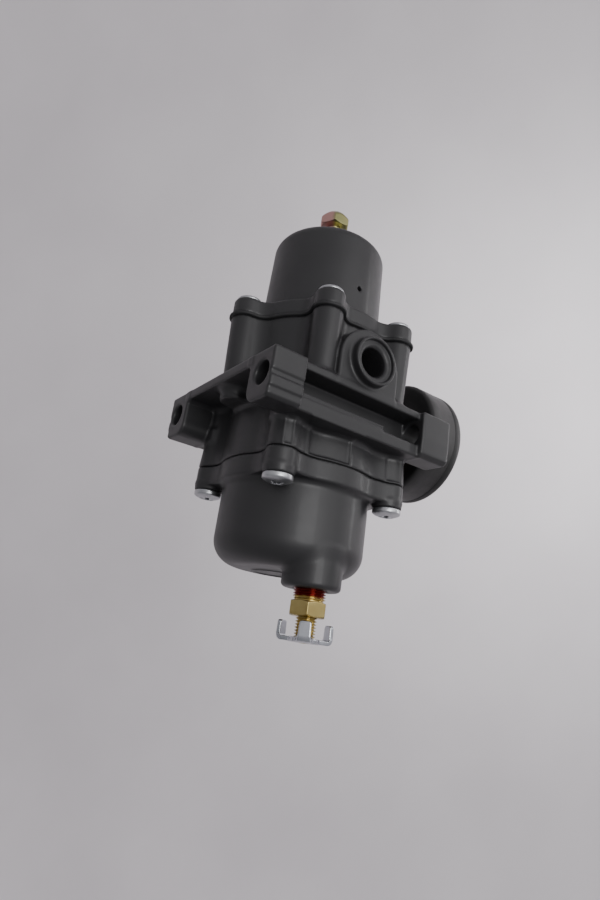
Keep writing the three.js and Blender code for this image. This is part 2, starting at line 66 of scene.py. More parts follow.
HANDLE_BOTTOM, HANDLE_FACE, HANDLE_BEND, HANDLE_TOP = -84.8, -83.2, -82.6, -77.7
BEZEL_JOINT, DIAL_MARKS = 62.95, 61.18


def mesh_step(full):
    return full


CASTING_STEP = mesh_step(0.5)


# ------------------------------------------------------------------ outlines
def arc(cx, cy, r, a0, a1, n):
    """n + 1 points on an arc, angles in degrees."""
    a = np.radians(np.linspace(a0, a1, n + 1))
    return np.stack([cx + r * np.cos(a), cy + r * np.sin(a)], -1)


def lobed(count, first, valley, centre, lobe, fillet, grow=0.0):
    """Closed outline of a round flange whose lobes blend into the round by fillets."""
    valley, lobe, fillet = valley + grow, lobe + grow, fillet - grow
    a, b = valley + fillet, lobe + fillet
    spread = math.degrees(math.acos((a * a + centre**2 - b * b) / (2 * a * centre)))

    def bearing(p, q):
        return math.degrees(math.atan2(q[1] - p[1], q[0] - p[0]))

    def near(start, to):
        return start + (to - start + 180) % 360 - 180

    parts = []
    for k in range(count):
        t = first + k * 360 / count
        polar = ((centre, t), (a, t - spread), (a, t + spread))
        tip, before, after = (arc(0, 0, r, x, x, 1)[0] for r, x in polar)
        start, leave = t - spread + 180, bearing(after, tip)
        parts += [
            arc(*before, fillet, start, near(start, bearing(before, tip)), 10)[:-1],
            arc(*tip, lobe, near(t - 90, bearing(tip, before)), near(t + 90, bearing(tip, after)), 20)[:-1],
            arc(*after, fillet, leave, near(leave, t + spread + 180), 10)[:-1],
            arc(0, 0, valley, t + spread, t + 360 / count - spread, 14)[:-1],
        ]
    return np.concatenate(parts)


def lobe_spots(count, first, centre, **_):
    return arc(0, 0, centre, first, first + 360, count)[:-1]


# ------------------------------------------------------------------ solids as distance fields
class Outline:
    """Signed distance to a closed 2D outline, tabulated once and then looked up."""

    def __init__(self, points, step=0.25, margin=12.0):
        p = np.asarray(points, float)
        q = np.roll(p, -1, 0)
        self.low, self.step = p.min(0) - margin, step
        n = np.ceil((p.max(0) + margin - self.low) / step).astype(int) + 1
        gx, gy = np.meshgrid(*(self.low[i] + step * np.arange(n[i]) for i in (0, 1)), indexing="ij")
        best, inside = np.full(gx.shape, 1e9), np.zeros(gx.shape, bool)
        for (ax, ay), (bx, by) in zip(p, q):
            dx, dy = bx - ax, by - ay
            t = np.clip(((gx - ax) * dx + (gy - ay) * dy) / max(dx * dx + dy * dy, 1e-12), 0, 1)
            np.minimum(best, (gx - ax - t * dx) ** 2 + (gy - ay - t * dy) ** 2, out=best)
            if ay != by:
                crosses = ((ay > gy) != (by > gy)) & (gx < dx * (gy - ay) / dy + ax)
                inside ^= crosses
        self.grid = (np.sqrt(best) * np.where(inside, -1, 1)).astype(np.float32)

    def __call__(self, x, y):
        shape = np.broadcast(x, y).shape
        fx = np.clip((x - self.low[0]) / self.step, 0, self.grid.shape[0] - 1.001)
        fy = np.clip((y - self.low[1]) / self.step, 0, self.grid.shape[1] - 1.001)
        ix, iy = fx.astype(np.int32), fy.astype(np.int32)
        tx, ty = (fx - ix).astype(np.float32), (fy - iy).astype(np.float32)
        g = self.grid
        out = (g[ix, iy] * (1 - tx) + g[ix + 1, iy] * tx) * (1 - ty) + (
            g[ix, iy + 1] * (1 - tx) + g[ix + 1, iy + 1] * tx
        ) * ty
        return np.broadcast_to(out, shape)


def slab(z, z0, z1):
    return np.maximum(z0 - z, z - z1)


def both(a, b, r=0.0):
    """Common part of two solids, its outside edge rounded by r."""
    if not r:
        return np.maximum(a, b)
    return np.minimum(-r, np.maximum(a, b)) + np.hypot(np.maximum(a + r, 0), np.maximum(b + r, 0))


def join(a, b, r=0.0):
    """Two solids together, with a fillet r in the corner between them."""
    if not r:
        return np.minimum(a, b)
    return np.maximum(r, np.minimum(a, b)) - np.hypot(np.maximum(r - a, 0), np.maximum(r - b, 0))


def cut(a, b, r=0.0):
    return both(a, -b, r)


def cylinder(u, v, w, r, w0, w1, edge=0.0):
    return both(np.hypot(u, v) - r, slab(w, w0, w1), edge)


def block(x, y, z, lo, hi, edge=0.0):
    return both(both(slab(x, lo[0], hi[0]), slab(y, lo[1], hi[1]), edge), slab(z, lo[2], hi[2]), edge)


def surface(field, low, high, step):
    """Mesh (vertices in mm, quads) of the zero surface of field(x, y, z), by surface nets."""
    ax = [np.arange(lo - 2 * step, hi + 3 * step, step, dtype=np.float32) for lo, hi in zip(low, high)]
    gx, gy, gz = ax[0][:, None, None], ax[1][None, :, None], ax[2][None, None, :]
    d = np.ascontiguousarray(field(gx, gy, gz), np.float32)
    d = np.broadcast_to(d, [len(a) for a in ax])
    sign = d < 0
    corners = [(i, j, k) for i in (0, 1) for j in (0, 1) for k in (0, 1)]
    n = [s - 1 for s in d.shape]
    count = sum(sign[i : i + n[0], j : j + n[1], k : k + n[2]].astype(np.int8) for i, j, k in corners)
    cells = np.argwhere((count > 0) & (count < 8))
    value = np.stack([d[tuple((cells + c).T)] for c in corners], 1)
    total, hits = np.zeros((len(cells), 3)), np.zeros(len(cells))
    for a, ca in enumerate(corners):
        for b, cb in enumerate(corners):
            if a < b and sum(abs(p - q) for p, q in zip(ca, cb)) == 1:
                crossed = (value[:, a] < 0) != (value[:, b] < 0)
                t = np.where(crossed, value[:, a] / np.where(crossed, value[:, a] - value[:, b], 1), 0)
                point = np.array(ca) + t[:, None] * (np.array(cb) - np.array(ca))
                total += point * crossed[:, None]
                hits += crossed
    verts = (cells + total / hits[:, None]) * step + np.array([a[0] for a in ax])
    index = np.full(n, -1, np.int32)
    index[tuple(cells.T)] = np.arange(len(cells))
    faces = []
    for axis in range(3):
        u, v = [(1, 2), (2, 0), (0, 1)][axis]
        lo, hi = [slice(None)] * 3, [slice(None)] * 3
        lo[axis], hi[axis] = slice(0, -1), slice(1, None)
        edge = np.argwhere(sign[tuple(lo)] != sign[tuple(hi)])
        start_inside = sign[tuple(edge.T)]
        ring = []
        for du, dv in ((1, 1), (0, 1), (0, 0), (1, 0)):
            cell = edge.copy()
            cell[:, u] -= du
            cell[:, v] -= dv
            ring.append(index[tuple(cell.T)])
        quad = np.stack(ring, 1)
        quad[~start_inside] = quad[~start_inside][:, ::-1]
        faces.append(quad)
    return verts, np.concatenate(faces)


# ------------------------------------------------------------------ meshes and pieces
def new_piece(name, verts, faces, material, body="housing", node=None, slot=None, smooth=True, axis=AXIS):
    """A visible piece from vertices in mm about the axis; it rides on a body and may replace a CAD node."""
    mesh = bpy.data.meshes.new(name)
    points = np.asarray(verts, float) / 1000 + np.array(axis)
    if isinstance(faces, np.ndarray):
        faces = faces.tolist()
    mesh.from_pydata(points.tolist(), [], faces)
    mesh.validate()
    if smooth:
        mesh.polygons.foreach_set("use_smooth", [True] * len(mesh.polygons))
    mesh.materials.append(material)
    piece = bpy.data.objects.new(name, mesh)
    bpy.context.scene.collection.objects.link(piece)
    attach(piece, body)
    if node:
        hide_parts(*([node] if isinstance(node, str) else node))
    return piece


def turned(profile, segments=96, close=True):
    """Revolution about Z of (radius, height) points."""
    profile = np.asarray(profile, float)
    a = np.linspace(0, 2 * np.pi, segments, endpoint=False)
    radius, height = profile[:, 0], np.tile(profile[:, 1], (segments, 1))
    verts = np.stack([np.outer(np.cos(a), radius), np.outer(np.sin(a), radius), height], -1).reshape(-1, 3)
    n = len(profile)
    faces = []
    for s in range(segments):
        t = (s + 1) % segments
        for i in range(n if close else n - 1):
            j = (i + 1) % n
            faces.append((s * n + i, t * n + i, t * n + j, s * n + j))
    return verts, faces


def thread(radius, depth, pitch, z0, z1, inner=0.0, per_turn=48, per_pitch=8, taper=0.0):
    """Helical thread between z0 and z1 as a closed sleeve or rod; `inner` is the hidden side's radius."""
    rows = int(round((z1 - z0) / pitch * per_pitch)) + 1
    a = np.linspace(0, 2 * np.pi, per_turn, endpoint=False)
    z = np.linspace(z0, z1, rows)
    phase = (z[:, None] / pitch - a[None, :] / (2 * np.pi)) % 1.0
    wave = np.clip(np.abs(phase - 0.5) * 2.6 - 0.15, 0, 1)
    fade = np.clip(np.minimum(z - z0, z1 - z) / (0.6 * pitch), 0, 1)[:, None]
    shrink = taper * (z[:, None] - z0)
    r = radius - depth * (1 - (1 - wave) * fade) - shrink
    outer = np.stack([r * np.cos(a), r * np.sin(a), np.broadcast_to(z[:, None], r.shape)], -1)
    hidden = np.stack([inner * np.cos(a), inner * np.sin(a), np.zeros_like(a)], -1)
    rings = [hidden + [0, 0, z0], *outer, hidden + [0, 0, z1]]
    verts = np.concatenate(rings)
    faces = []
    for i in range(len(rings) if inner else len(rings) - 1):
        j = (i + 1) % len(rings)
        for s in range(per_turn):
            t = (s + 1) % per_turn
            faces.append((i * per_turn + s, i * per_turn + t, j * per_turn + t, j * per_turn + s))
    return verts, faces


def merged(*parts):
    verts, faces, base = [], [], 0
    for v, f in parts:
        verts.append(np.asarray(v, float))
        faces += [tuple(int(i) + base for i in face) for face in f]
        base += len(v)
    return np.concatenate(verts), faces


def placed(part, turn=None, move=(0, 0, 0)):
    v, f = part
    v = np.asarray(v, float)
    if turn is not None:
        v = v @ np.array(turn.to_3x3()).T
    return v + np.array(move, float), f


# ------------------------------------------------------------------ materials
def finish_of(name, light, dark, rough, metal, grain, peel, peel_scale, coat=0.0, extra=None):
    """Procedural finish: colour drifts between two tones, gloss varies, and a fine bump breaks the surface."""
    mat = bpy.data.materials.new(name)
    mat.use_nodes = True
    nodes, links = mat.node_tree.nodes, mat.node_tree.links
    shader = nodes["Principled BSDF"]
    shader.inputs["Metallic"].default_value = metal
    shader.inputs["Coat Weight"].default_value = coat
    shader.inputs["Coat Roughness"].default_value = 0.12
    where = nodes.new("ShaderNodeTexCoord")

    def noise(scale, detail):
        tex = nodes.new("ShaderNodeTexNoise")
        tex.inputs["Scale"].default_value = scale
        tex.inputs["Detail"].default_value = detail
        links.new(where.outputs["Object"], tex.inputs["Vector"])
        return tex.outputs["Fac"]

    tone = nodes.new("ShaderNodeValToRGB")
    tone.color_ramp.elements[0].position, tone.color_ramp.elements[1].position = 0.35, 0.65
    tone.color_ramp.elements[0].color, tone.color_ramp.elements[1].color = (*dark, 1), (*light, 1)
    links.new(noise(grain, 4.0), tone.inputs["Fac"])
    colour = tone.outputs["Color"]
    if extra:
        colour = extra(nodes, links, where, noise, colour)
    links.new(colour, shader.inputs["Base Color"])
    gloss = nodes.new("ShaderNodeMapRange")
    gloss.inputs["To Min"].default_value, gloss.inputs["To Max"].default_value = rough
    links.new(noise(grain * 5, 2.0), gloss.inputs["Value"])
    links.new(gloss.outputs["Result"], shader.inputs["Roughness"])
    if peel:
        bump = nodes.new("ShaderNodeBump")
        bump.inputs["Strength"].default_value = peel
        bump.inputs["Distance"].default_value = 0.0002
        links.new(noise(peel_scale, 2.0), bump.inputs["Height"])
        links.new(bump.outputs["Normal"], shader.inputs["Normal"])
    return mat


def across(second, direction, start, soft, ragged):
    """A second colour past a distance along a direction (metres), with a ragged, soft edge."""

    def add(nodes, links, where, noise, colour):
        dot = nodes.new("ShaderNodeVectorMath")
        dot.operation = "DOT_PRODUCT"
        links.new(where.outputs["Object"], dot.inputs[0])
        dot.inputs[1].default_value = direction
        wave = nodes.new("ShaderNodeMath")
        wave.operation = "MULTIPLY_ADD"
        links.new(noise(420.0, 2.0), wave.inputs[0])
        wave.inputs[1].default_value = ragged
        links.new(dot.outputs["Value"], wave.inputs[2])
        reach = nodes.new("ShaderNodeMapRange")
        reach.inputs["From Min"].default_value, reach.inputs["From Max"].default_value = start, start + soft
        links.new(wave.outputs["Value"], reach.inputs["Value"])
        mix = nodes.new("ShaderNodeMix")
        mix.data_type = "RGBA"
        links.new(reach.outputs["Result"], mix.inputs["Factor"])
        links.new(colour, mix.inputs["A"])
        mix.inputs["B"].default_value = (*second, 1)
        return mix.outputs["Result"]

    return add


PINK_TINT = across((0.56, 0.33, 0.30), (0.586, 0.799, 0), 0.0008 - 0.0438 * 0.799 - 0.0006, 0.0016, 0.0012)
RED_SEALANT = across((0.20, 0.022, 0.016), (0, 0, 1), -0.0686, 0.0004, 0.0012)
# light tone, dark tone, roughness range, metallic, grain scale, bump strength, bump scale, coat
FINISHES = {
    "paint": ((0.0195, 0.0192, 0.0206), (0.0160, 0.0158, 0.0170), (0.40, 0.52), 0.0, 45, 0.08, 700, 0.06),
    "zinc": ((0.56, 0.57, 0.58), (0.42, 0.43, 0.45), (0.26, 0.42), 1.0, 160, 0.05, 1500),
    "yellow_zinc": ((0.44, 0.40, 0.19), (0.31, 0.31, 0.14), (0.24, 0.38), 1.0, 120, 0.05, 1200, 0.0, PINK_TINT),
    "brass": ((0.56, 0.45, 0.19), (0.42, 0.32, 0.12), (0.16, 0.28), 1.0, 150, 0.02, 900),
    "brass_sealed": ((0.56, 0.45, 0.19), (0.42, 0.32, 0.12), (0.18, 0.30), 1.0, 150, 0.02, 900, 0.0, RED_SEALANT),
    "chrome": ((0.56, 0.58, 0.62), (0.44, 0.46, 0.49), (0.12, 0.22), 1.0, 200, 0.03, 900),
    "rubber": ((0.018, 0.018, 0.019), (0.010, 0.010, 0.011), (0.55, 0.75), 0.0, 200, 0.15, 1500),
    "black_case": ((0.0090, 0.0086, 0.0090), (0.0060, 0.0058, 0.0060), (0.44, 0.56), 0.0, 60, 0.10, 1100),
    "black_trim": ((0.012, 0.012, 0.012), (0.008, 0.008, 0.008), (0.35, 0.5), 0.0, 100, 0.05, 1000),
    "dial_white": ((0.82, 0.82, 0.79), (0.78, 0.78, 0.75), (0.45, 0.6), 0.0, 80, 0.03, 1500),
}
LOOKS = {name: finish_of(name, *values) for name, values in FINISHES.items()}


def glass():
    mat = bpy.data.materials.new("window")
    mat.use_nodes = True
    nodes, links = mat.node_tree.nodes, mat.node_tree.links
    shader = nodes["Principled BSDF"]
    shader.inputs["Transmission Weight"].default_value = 1.0
    shader.inputs["IOR"].default_value = 1.45
    where, tex = nodes.new("ShaderNodeTexCoord"), nodes.new("ShaderNodeTexNoise")
    tone = nodes.new("ShaderNodeMapRange")
    tex.inputs["Scale"].default_value = 90.0
    tone.inputs["To Min"].default_value, tone.inputs["To Max"].default_value = 0.01, 0.05
    links.new(where.outputs["Object"], tex.inputs["Vector"])
    links.new(tex.outputs["Fac"], tone.inputs["Value"])
    links.new(tone.outputs["Result"], shader.inputs["Roughness"])
    ramp = nodes.new("ShaderNodeValToRGB")
    ramp.color_ramp.elements[0].color = (0.93, 0.96, 0.96, 1)
    ramp.color_ramp.elements[1].color = (0.99, 0.99, 0.99, 1)
    links.new(tex.outputs["Fac"], ramp.inputs["Fac"])
    links.new(ramp.outputs["Color"], shader.inputs["Base Color"])
    return mat


LOOKS["window"] = glass()


# ------------------------------------------------------------------ castings
UPPER_2D, LOWER_2D = Outline(lobed(**UPPER)), Outline(lobed(**LOWER))
LUG_INNER = np.concatenate([[(23, BLOCK_TOP), (23, 5), (25, 3.5)], arc(30, -5, 5, 180, 270, 10)])
RIDGES = [(38.4, BLOCK_BOTTOM), (39.9, -8.8), (39.7, -7.6), (39.9, -6.4), (LUG_X, -6.0), (LUG_X, -2.5),
          (39.9, -2.0), (39.9, -0.4), (LUG_X, 0.1), (LUG_X, BLOCK_TOP)]
PLAIN = [(38.6, BLOCK_BOTTOM), (40.2, -8.4), (LUG_X, -2), (LUG_X, BLOCK_TOP)]
LUG_2D, PLAIN_LUG_2D = (Outline(np.concatenate([LUG_INNER, end]), step=0.1, margin=8) for end in (RIDGES, PLAIN))
PAD_2D = Outline(np.concatenate([[(-14.5, 5.6), (14.5, 5.6)], arc(0, PORT_Z - 1, 14.5, 0, 180, 40)]), margin=10)


def screw_holes(x, y, z, lobes, r, low, high):
    holes = 1e3
    for cx, cy in lobe_spots(**lobes):
        holes = join(holes, np.hypot(x - cx, y - cy) - r)
    return both(holes, slab(z, low, high))


def body_field(x, y, z):
    ax = np.abs(x)
    ku, kl = 1 - 0.001 * (BODY_TOP - z), 1 - 0.0016 * (z - BODY_BOTTOM)
    upper = both(UPPER_2D(x / ku, y / ku), slab(z, 0, BODY_TOP), 0.3)
    lower = both(LOWER_2D(x / kl, y / kl), slab(z, BODY_BOTTOM, 6), 0.3)
    solid = join(upper, lower, 2.0)
    shelf = block(x, y, z, (-PAD_FACE, -29, 5.6), (PAD_FACE, 31, BLOCK_TOP), 0.6)
    shelf = join(shelf, block(x, y, z, (-27, 10, 4.8), (27, REAR, BLOCK_TOP), 0.5), 1.0)
    shelf = join(shelf, block(x, y, z, (-27, -40.8, 4.8), (27, -10, BLOCK_TOP), 0.5), 1.0)
    solid = join(solid, shelf, 3.0)
    solid = join(solid, both(PAD_2D(y, z), slab(ax, 10, PAD_FACE), 0.7), 0.8)
    solid = join(solid, cylinder(x, z - GAUGE_Z, -y, 11, 20, 41, 0.8), 2.0)
    rail = block(ax, y, z, (22, -30, BLOCK_BOTTOM), (PAD_FACE, 31, -4.9), 0.6)
    rail = join(rail, block(ax, y, z, (36.8, -10, -8), (PAD_FACE, 31, -3.0), 0.3), 0.2)
    solid = join(solid, rail, 2.2)
    rear_lugs = both(LUG_2D(ax, z), slab(y, 29.6, REAR), 0.7)
    front_lugs = both(PLAIN_LUG_2D(ax, z), slab(y, FRONT, -28.3), 0.9)
    solid = join(solid, join(rear_lugs, front_lugs), 0.7)
    solid = join(solid, cylinder(y, z - PORT_Z, ax, 9.8, 20, PORT_FACE, 0.6), 0.9)

    channel = block(ax, y, z, (29, -28.3, -4.9), (36.8, 29.6, 5.6), 0.6)
    channel = join(channel, block(ax, y, z, (35, -28.3, -3.0), (52, 29.6, 5.6), 0.2))
    channel = join(channel, block(ax, y, z, (35, -28.3, -4.9), (52, -10, 5.6), 0.2))
    solid = cut(solid, channel, 0.35)
    mouth = np.clip(np.maximum(y - REAR, FRONT - y) + 0.5, 0, 0.6)
    solid = cut(solid, np.hypot(ax - BOLT_X, z) - BOLT_R - mouth, 0.2)
    turn = np.arctan2(z - PORT_Z, y) / (2 * np.pi)
    ridge = np.abs((ax / 1.41 - turn) % 1.0 - 0.5)
    port, port_seat = np.hypot(y, z - PORT_Z), PORT_FACE - 1.6
    tapped = port - PORT_R + 0.25 - 0.7 * ridge
    bore = join(both(tapped, slab(x, 3, 60)), both(tapped, slab(-x, 16, 60)))
    bore = join(bore, both(port - 8.5, slab(ax, port_seat, 60)))
    bore = join(bore, both((port - PORT_R - 0.9 + (port_seat - ax)) * 0.7, slab(ax, 36, 60)))
    solid = cut(solid, bore, 0.25)

    r = np.hypot(x, y)
    inside = both(r - 20 - np.clip((z - 30) * 2.5, 0, 5), slab(z, 30, 50))
    inside = join(inside, both(r - 7, slab(z, 11.8, 24)))
    inside = join(inside, both(r - 8.5, slab(z, -40, 11.8)))
    inside = join(inside, both(r - 3.2, slab(z, 20, 32)))
    inside = join(inside, both(np.hypot(x - 5.2, y) - 1.6, slab(z, 20, 32)))
    inside = join(inside, both(np.hypot(x + 20, y) - 4, slab(z, -10, PORT_Z + 2)))
    inside = join(inside, both(both(12 - r, r - 25.5), slab(z, -40, -10)))
    inside = join(inside, both(np.hypot(x, z - GAUGE_Z) - 5.9, slab(-y, 6, 45)))
    inside = join(inside, screw_holes(x, y, z, UPPER, 2.35, BODY_TOP - 9, 60))
    inside = join(inside, screw_holes(x, y, z, LOWER, 2.45, -60, -12))
    solid = cut(solid, inside)
    groove = both(np.hypot(ax - PAD_FACE - 0.1, z + 4.3) - 0.42, slab(y, -10, 29.6))
    solid = cut(solid, groove, 0.15)
    # shallow framed panels cast into the lower part, between and on its screw lobes
    relief = framed(np.arctan2(y, ax) * 31.7, z, (0, 16.4), PANELS, 0.6)
    centre, lobe = LOWER["centre"] * math.sqrt(0.5), LOWER["lobe"]
    for side, turns in ((-1, (105, 185)), (1, (152, 178))):
        around = np.arctan2(y - side * centre, centre - ax) % (2 * np.pi)
        along = [math.radians(t) * lobe for t in turns]
        panel = framed(np.where(around > 0, around, 0) * lobe, z, along, PANELS, 0.35)
        relief = relief + panel * near_lobe(ax - centre, y - side * centre)
    return solid + relief * np.clip((-9.0 - z) / 0.5, 0, 1)


def near_lobe(x, y):
    return np.clip((6.8 - np.hypot(x, y)) / 0.4, 0, 1)


def framed(u, v, u_range, v_range, depth):
    """Relief of a recessed panel with a raised rim: positive is recessed."""

    def beyond(w, ends):
        return np.abs(w - sum(ends) / 2) - (ends[1] - ends[0]) / 2

    q = np.maximum(beyond(u, u_range), beyond(v, v_range))
    inside = np.clip(0.5 - q / 0.7, 0, 1)
    return depth * inside * inside * (3 - 2 * inside) - 0.28 * np.exp(-(((q - 0.75) / 0.38) ** 2))


def case_field(x, y, z):
    r = np.hypot(x, y)
    flange = both(UPPER_2D(x, y), slab(z, CASE_BASE, CASE_FLANGE), 0.8)
    wall = r - CASE_R - 0.8 * np.clip((CASE_TOP - 5 - z) / 36, 0, 1)
    dome = np.maximum(both(wall, slab(z, CASE_BASE - 20, CASE_TOP), 5.0), CASE_BASE - z)
    solid = join(flange, dome, 3.2)
    pip = np.sqrt((x + 6) ** 2 + (y - 16.5) ** 2 + (z - CASE_TOP) ** 2) - 1.2
    solid = join(solid, pip, 0.4)
    inside = both(r - 24.5, slab(z, 20, 38.6))
    inside = join(inside, both(r - 21.5, slab(z, 20, 79.5), 2.5))
    inside = join(inside, both(r - 4.1, slab(z, 70, 100)))
    inside = join(inside, both(np.hypot(y, z - 58) - 1.1, slab(-x, 18, 40)))
    inside = join(inside, screw_holes(x, y, z, UPPER, 2.6, 20, 60))
    return cut(solid, inside, 0.2)


def well_field(x, y, z):
    r = np.hypot(x, y)
    flange = both(LOWER_2D(x, y), slab(z, WELL_FLANGE, WELL_TOP + 20), 0.9)
    cup = both(r - WELL_R, slab(z, WELL_BOTTOM, 20), 10.0)
    solid = join(cup, flange, 2.4)
    solid = join(solid, cylinder(x - DRAIN_X, y, z, DRAIN_BOSS_R, DRAIN_BOSS, -50, 1.7), 1.6)
    pads = 1e3
    for cx, cy in lobe_spots(**LOWER):
        pads = join(pads, np.hypot(x - cx, y - cy) - LOWER["lobe"])
    solid = join(solid, both(pads, slab(z, WELL_PAD, WELL_FLANGE + 2), 0.6), 0.8)
    badge = both(np.abs(np.hypot(x - 7, y) - 9.0) - 0.45, slab(z, WELL_BOTTOM - 0.5, -55), 0.3)
    solid = join(solid, badge, 0.3)
    inside = both(both(r - 26.6, slab(z, -56.6, 20), 7.0), slab(z, -60, 20))
    inside = join(inside, both(np.hypot(x - DRAIN_X, y) - 6.35, slab(z, -80, -45)))
    inside = join(inside, screw_holes(x, y, z, LOWER, 2.7, -50, 0))
    return both(cut(solid, inside, 0.2), z - WELL_TOP, 0.3)


def casting(name, node, field, low, high):
    verts, faces = surface(field, low, high, CASTING_STEP)
    return new_piece(name, verts, faces, LOOKS["paint"], node=node, slot="paint")


casting("body_casting", "regulator_body", body_field, (-42, -44, -21), (42, 44, 35.6))
casting("spring_case_casting", "spring_case", case_field, (-42.3, -42.3, 37), (42.3, 42.3, 87.4))
casting("drip_well_casting", "drip_well", well_field, (-42.8, -42.8, -66.3), (42.8, 42.8, -21.3))


# ------------------------------------------------------------------ diaphragm edge
def sheet_ring(outline, inner, levels):
    """Flat ring from an outline to an inner circle; levels are (growth, height) pairs round its edge."""
    loops = []
    for grow, height in levels:
        rim = lobed(**outline, grow=grow)
        loops.append(np.column_stack([rim, np.full(len(rim), height)]))
    angle = np.arctan2(loops[0][:, 1], loops[0][:, 0])
    hole = np.stack([inner * np.cos(angle), inner * np.sin(angle)], -1)
    loops += [np.column_stack([hole, np.full(len(hole), height)]) for height in (levels[-1][1], levels[0][1])]
    n, faces = len(loops[0]), []
    for i in range(len(loops)):
        j = (i + 1) % len(loops)
        faces += [(i * n + s, i * n + (s + 1) % n, j * n + (s + 1) % n, j * n + s) for s in range(n)]
    return np.concatenate(loops), faces


rim_levels = [(0.7, 35.7), (1.0, 35.9), (1.0, 36.7), (0.7, 36.9)]
new_piece("diaphragm_edge", *sheet_ring(UPPER, 4.6, rim_levels), LOOKS["rubber"], node="diaphragm", slot="rubber")


# ------------------------------------------------------------------ screws
def hex_field(x, y, flats, turn):
    out = -1e3
    for k in range(3):
        a = math.radians(turn + 30 + 60 * k)
        out = np.maximum(out, np.abs(x * math.cos(a) + y * math.sin(a)) - flats / 2)
    return out


def head_field(r_head, height, dome):
    def field(x, y, z):
        r = np.hypot(x, y)
        ball = (r_head**2 + dome**2) / (2 * dome)
        top = np.sqrt(r**2 + (z - height + ball) ** 2) - ball
        head = both(both(r - r_head, slab(z, 0, height + 1), 0.5), top, 0.4)
        slot_w = 0.62 + np.clip(z - height * 0.45, 0, 3) * 0.08
        reach = r_head * 0.46
        arms = np.minimum(both(np.abs(x) - slot_w, np.abs(y) - reach), both(np.abs(y) - slot_w, np.abs(x) - reach))
        recess = both(arms, height * 0.4 - z)
        shank = both(r - 2.1, slab(z, -3, 0.5))
        return join(cut(head, recess, 0.15), shank, 0.2)

    return field


def screws(name, node, lobes, r_head, height, dome, level, down):
    field = head_field(r_head, height, dome)
    head = surface(field, (-r_head, -r_head, -3), (r_head, r_head, height), mesh_step(0.2))
    for i, (x, y) in enumerate(lobe_spots(**lobes)):
        spin = Matrix.Rotation(0.4 + 0.9 * i, 3, "Z")
        turn = (Matrix.Rotation(math.pi, 3, "X") if down else Matrix.Identity(3)) @ spin
        verts, faces = placed(head, turn, (x, y, level))
        new_piece(f"{name}_{i + 1}", verts, faces, LOOKS["zinc"], node=f"{node}_{i + 1}", slot="zinc")


screws("case_screw_head", "spring_case_screw", UPPER, 5.2, 2.9, 1.9, CASE_FLANGE + 0.05, False)
screws("well_screw_head", "drip_well_screw", LOWER, 5.6, 3.4, 1.5, WELL_PAD - 0.05, True)


# ------------------------------------------------------------------ adjusting screw and locknut
def hex_head(flats, turn, low, high, low_chamfer, high_chamfer, slope=0.6, bore=0.0):
    def field(x, y, z):
        r = np.hypot(x, y)
        solid = both(hex_field(x, y, flats, turn), slab(z, low, high), 0.15)
        solid = both(solid, ((z - high) + (r - flats / 2 + high_chamfer) * slope) / math.hypot(1, slope), 0.5)
        solid = np.maximum(solid, ((low - z) + (r - flats / 2 + low_chamfer) * 0.6) * 0.857)
        return cut(solid, r - bore, 0.2) if bore else solid

    reach = flats / math.sqrt(3) + 0.2
    return surface(field, (-reach, -reach, low), (reach, reach, high), mesh_step(0.16))


rod_parts = [
    hex_head(HEX_FLATS, 146, HEAD_BOTTOM, HEAD_TOP, 0.3, 1.7, slope=1.15),
    thread(ADJUSTER_R, 0.5, ADJUSTER_PITCH, 76.0, 100.6),
    turned([(0, 73.4), (1.4, 73.6), (3.2, 75.2), (3.45, 76.2), (0, 76.2)], 48, close=False),
    turned([(0, 100.4), (3.5, 100.4), (3.5, 101.6), (0, 101.6)], 48, close=False),
]
new_piece("adjusting_screw_hex", *merged(*rod_parts), LOOKS["yellow_zinc"],
          "adjusting_screw", "adjusting_screw", "yellow_zinc")
locknut = hex_head(HEX_FLATS, 128, CASE_TOP + 0.15, CASE_TOP + 5.6, 0.4, 0.4, bore=4.05)
new_piece("locknut_hex", *locknut, LOOKS["yellow_zinc"], "locknut", "locknut", "yellow_zinc")


# ------------------------------------------------------------------ drain valve
def at_drain(part):
    return placed(part, move=(DRAIN_X, 0, 0))


def valve_field(x, y, z):
    r = np.hypot(x, y)
    solid = both(hex_field(x, y, HEX_FLATS, 143), slab(z, VALVE_BOTTOM, VALVE_TOP), 0.15)
    solid = np.maximum(solid, ((VALVE_BOTTOM - z) + (r - 6.0) * 0.5) * 0.89)
    solid = np.maximum(solid, ((z - VALVE_TOP) + (r - 6.2) * 0.45) * 0.9)
    return cut(solid, r - STEM_R - 0.12, 0.3)


hexed = surface(valve_field, (-7.6, -7.6, VALVE_BOTTOM), (7.6, 7.6, VALVE_TOP), mesh_step(0.15))
pipe = thread(6.05, 0.8, 0.94, -70.1, -58.0, inner=STEM_R + 0.2, taper=-0.01)
neck = turned([(STEM_R + 0.2, -70.6), (5.35, -70.6), (5.35, -70.0), (STEM_R + 0.2, -70.0)], 48)
valve = merged(at_drain(hexed), at_drain(pipe), at_drain(neck))
new_piece("drain_valve_hex", *valve, LOOKS["brass_sealed"], node="drain_valve_body", slot="brass")
stem_tip = turned([(0, -85.1), (1.8, -85.1), (2.1, -84.8), (2.1, -83.4), (0, -83.4)], 40, close=False)
stem = merged(thread(STEM_R, 0.85, DRAIN_PITCH, -83.6, -66.0), stem_tip)
new_piece("drain_stem_screw", *at_drain(stem), LOOKS["brass"], "drain_stem", "drain_stem", "brass")


